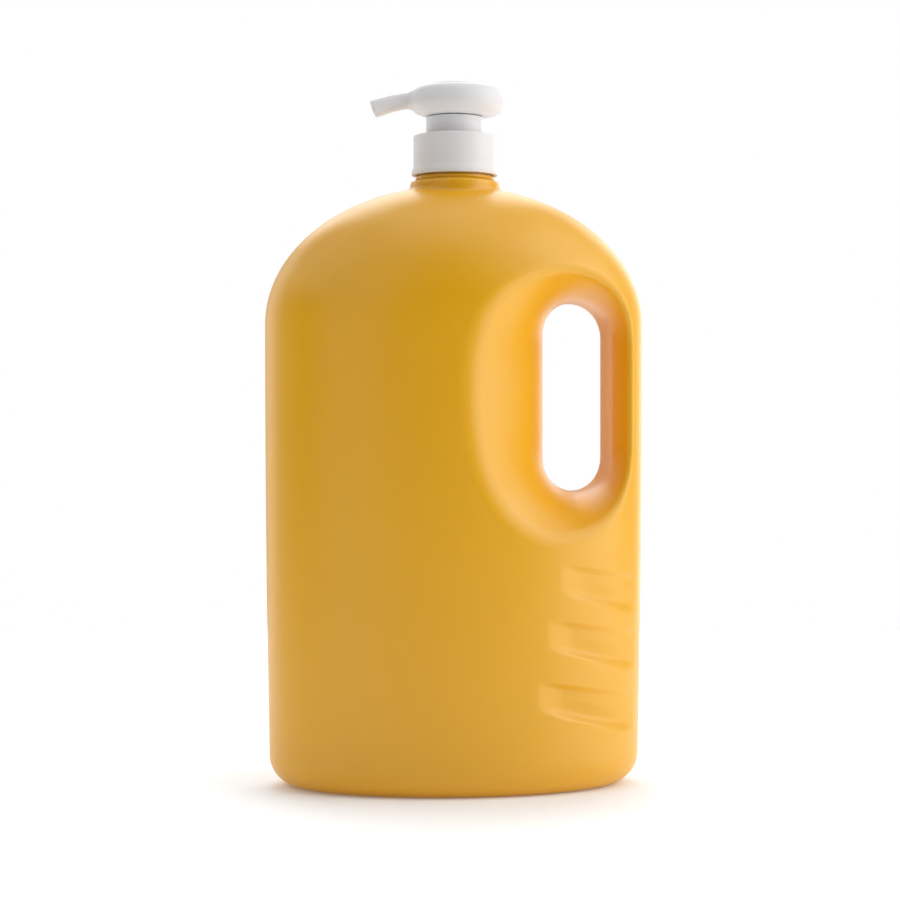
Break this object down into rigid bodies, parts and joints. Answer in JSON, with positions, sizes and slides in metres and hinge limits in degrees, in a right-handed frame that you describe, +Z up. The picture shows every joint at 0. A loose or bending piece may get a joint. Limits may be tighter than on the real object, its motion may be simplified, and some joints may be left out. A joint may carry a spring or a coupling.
{
  "type": "detergent dispenser bottle",
  "caption": "Oval domed jug with a dished through handle and grip pockets, topped by a screw-on lock-down hand pump with a drooping nozzle.",
  "frame": {"origin": "middle of the jug's standing face", "axes": "+Z up along the pump, +X towards the handle, -X along the nozzle, -Y towards the viewer"},
  "size_m": [0.193, 0.13, 0.356],
  "materials": {
    "jug_yellow": "satin blow-moulded polyethylene",
    "pump_white": "smooth moulded white polypropylene",
    "natural_plastic": "uncoloured moulded plastic",
    "soft_seal": "soft seal plastic",
    "bright_steel": "drawn stainless steel"
  },
  "bodies": {
    "jug": {"bottle": "jug_yellow"},
    "pump_body": {"pump_housing": "natural_plastic", "chaplet": "pump_white", "neck_gasket": "soft_seal", "dip_tube": "natural_plastic", "return_spring": "bright_steel"},
    "closure_ring": {"closure": "pump_white"},
    "piston_slide": {"piston": "soft_seal"},
    "press_head": {"actuator_head": "pump_white", "actuator_base": "pump_white", "stem": "pump_white", "piston_seat": "natural_plastic"},
    "inlet_valve": {"inlet_ball": "bright_steel"},
    "outlet_valve": {"outlet_ball": "bright_steel"}
  },
  "joints": [
    {"name": "pump_lift", "type": "slide", "parent": "jug", "child": "pump_body", "axis": [0, 0, 1], "range_m": [0, 0.0063]},
    {"name": "closure_turn", "type": "hinge", "parent": "pump_body", "child": "closure_ring", "pos_m": [0, 0, 0.32], "axis": [0, 0, 1], "range_deg": [0, 540]},
    {"name": "head_stroke", "type": "slide", "parent": "pump_body", "child": "piston_slide", "axis": [0, 0, 1], "range_m": [0, 0.016], "stiffness_N_per_m": 500, "springref_m": 0.03, "deforming": ["return_spring"]},
    {"name": "spout_turn", "type": "hinge", "parent": "piston_slide", "child": "press_head", "pos_m": [0, 0, 0.345], "axis": [0, 0, 1], "continuous": true},
    {"name": "inlet_ball_lift", "type": "slide", "parent": "pump_body", "child": "inlet_valve", "axis": [0, 0, 1], "range_m": [0, 0.0025]},
    {"name": "outlet_ball_lift", "type": "slide", "parent": "press_head", "child": "outlet_valve", "axis": [0, 0, 1], "range_m": [0, 0.0015]}
  ],
  "couplings": [
    {"joint": "pump_lift", "follows": "closure_turn", "m_per_rad": 0.000668}
  ]
}
